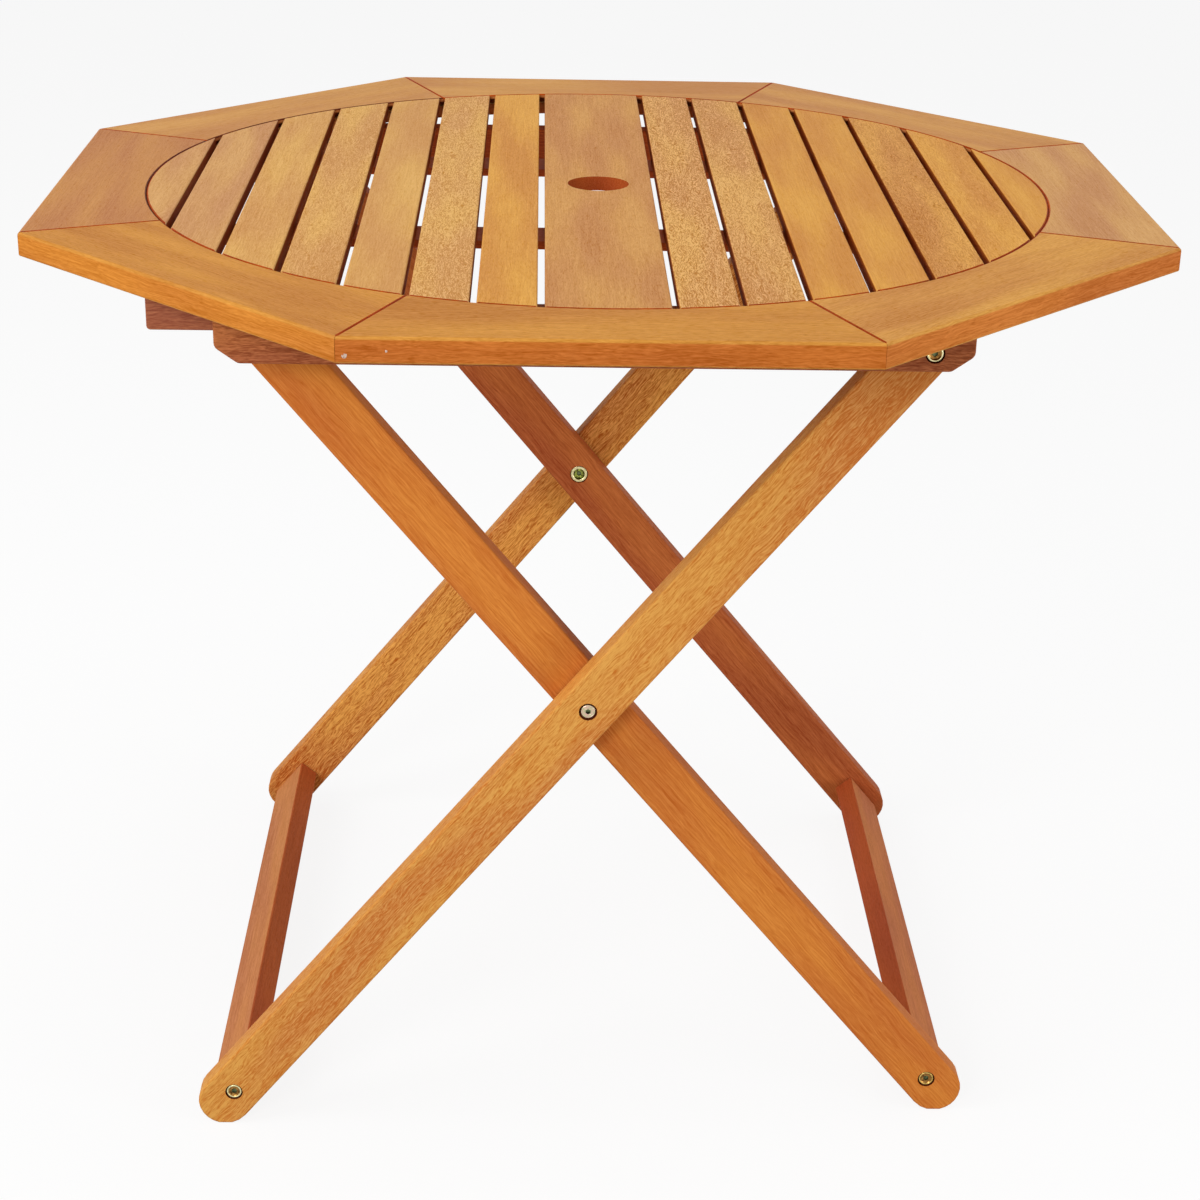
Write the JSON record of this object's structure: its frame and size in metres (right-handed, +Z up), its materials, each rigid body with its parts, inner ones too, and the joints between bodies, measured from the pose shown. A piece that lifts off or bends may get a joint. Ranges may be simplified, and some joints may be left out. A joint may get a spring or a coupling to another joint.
{
  "type": "folding outdoor dining table",
  "caption": "Octagonal slatted wooden garden table with a parasol hole in its round inset of slats, on two crossed leg frames that fold flat under the top.",
  "frame": {"origin": "on the floor, under the middle of the tabletop", "axes": "+X to the right along the rails, +Y away from the front across the table, +Z up"},
  "size_m": [0.9, 0.9, 0.74],
  "materials": {
    "border_wood": "oiled, satin",
    "slat_wood": "oiled, satin",
    "plank_wood": "oiled, satin",
    "underframe_wood": "oiled, satin",
    "golden_leg_wood": "oiled, satin",
    "orange_leg_wood": "oiled, satin",
    "dark_leg_wood": "oiled, satin",
    "zinc_plate": "zinc plated, passivated",
    "yellow_zinc_plate": "yellow zinc plated"
  },
  "bodies": {
    "outer_leg_frame": {"outer_leg_front": "golden_leg_wood", "outer_leg_rear": "orange_leg_wood", "outer_stretcher": "underframe_wood", "crossing_bolt_front": "zinc_plate", "crossing_bolt_rear": "zinc_plate", "crossing_sleeve_nut_front": "zinc_plate", "crossing_sleeve_nut_rear": "zinc_plate", "crossing_washer_front": "zinc_plate", "crossing_washer_rear": "zinc_plate", "top_pivot_bolt_front": "zinc_plate", "top_pivot_bolt_rear": "zinc_plate", "top_pivot_sleeve_nut_front": "zinc_plate", "top_pivot_sleeve_nut_rear": "zinc_plate", "top_pivot_washer_front": "zinc_plate", "top_pivot_washer_rear": "zinc_plate", "outer_foot_bolt_front": "zinc_plate", "outer_stretcher_insert_front": "zinc_plate", "outer_foot_bolt_rear": "zinc_plate", "outer_stretcher_insert_rear": "zinc_plate"},
    "inner_leg_frame": {"inner_leg_front": "orange_leg_wood", "inner_leg_rear": "dark_leg_wood", "inner_stretcher": "underframe_wood", "inner_crossbar": "underframe_wood", "inner_foot_bolt_front": "yellow_zinc_plate", "inner_stretcher_insert_front": "zinc_plate", "inner_foot_bolt_rear": "yellow_zinc_plate", "inner_stretcher_insert_rear": "zinc_plate"},
    "tabletop": {"border_right": "border_wood", "border_rear_right": "border_wood", "border_rear": "border_wood", "border_rear_left": "border_wood", "border_left": "border_wood", "border_front_left": "border_wood", "border_front": "border_wood", "border_front_right": "border_wood", "centre_plank": "plank_wood", "slat_left_1": "slat_wood", "slat_left_2": "slat_wood", "slat_left_3": "slat_wood", "slat_left_4": "slat_wood", "slat_left_5": "slat_wood", "slat_left_6": "slat_wood", "slat_left_7": "slat_wood", "slat_right_1": "slat_wood", "slat_right_2": "slat_wood", "slat_right_3": "slat_wood", "slat_right_4": "slat_wood", "slat_right_5": "slat_wood", "slat_right_6": "slat_wood", "slat_right_7": "slat_wood", "batten_front": "underframe_wood", "batten_rear": "underframe_wood", "rail_front": "underframe_wood", "rail_rear": "underframe_wood", "stop_block_front": "underframe_wood", "stop_block_rear": "underframe_wood"}
  },
  "joints": [
    {"name": "scissor_fold", "type": "hinge", "parent": "outer_leg_frame", "child": "inner_leg_frame", "pos_m": [-0.00725, 0, 0.38809], "axis": [0, 1, 0], "range_deg": [0, 74]},
    {"name": "top_hinge", "type": "hinge", "parent": "outer_leg_frame", "child": "tabletop", "pos_m": [0.24169, 0, 0.6925], "axis": [0, 1, 0], "range_deg": [0, 37.3]}
  ],
  "couplings": [
    {"joint": "top_hinge", "follows": "scissor_fold", "ratio": 0.5037}
  ]
}
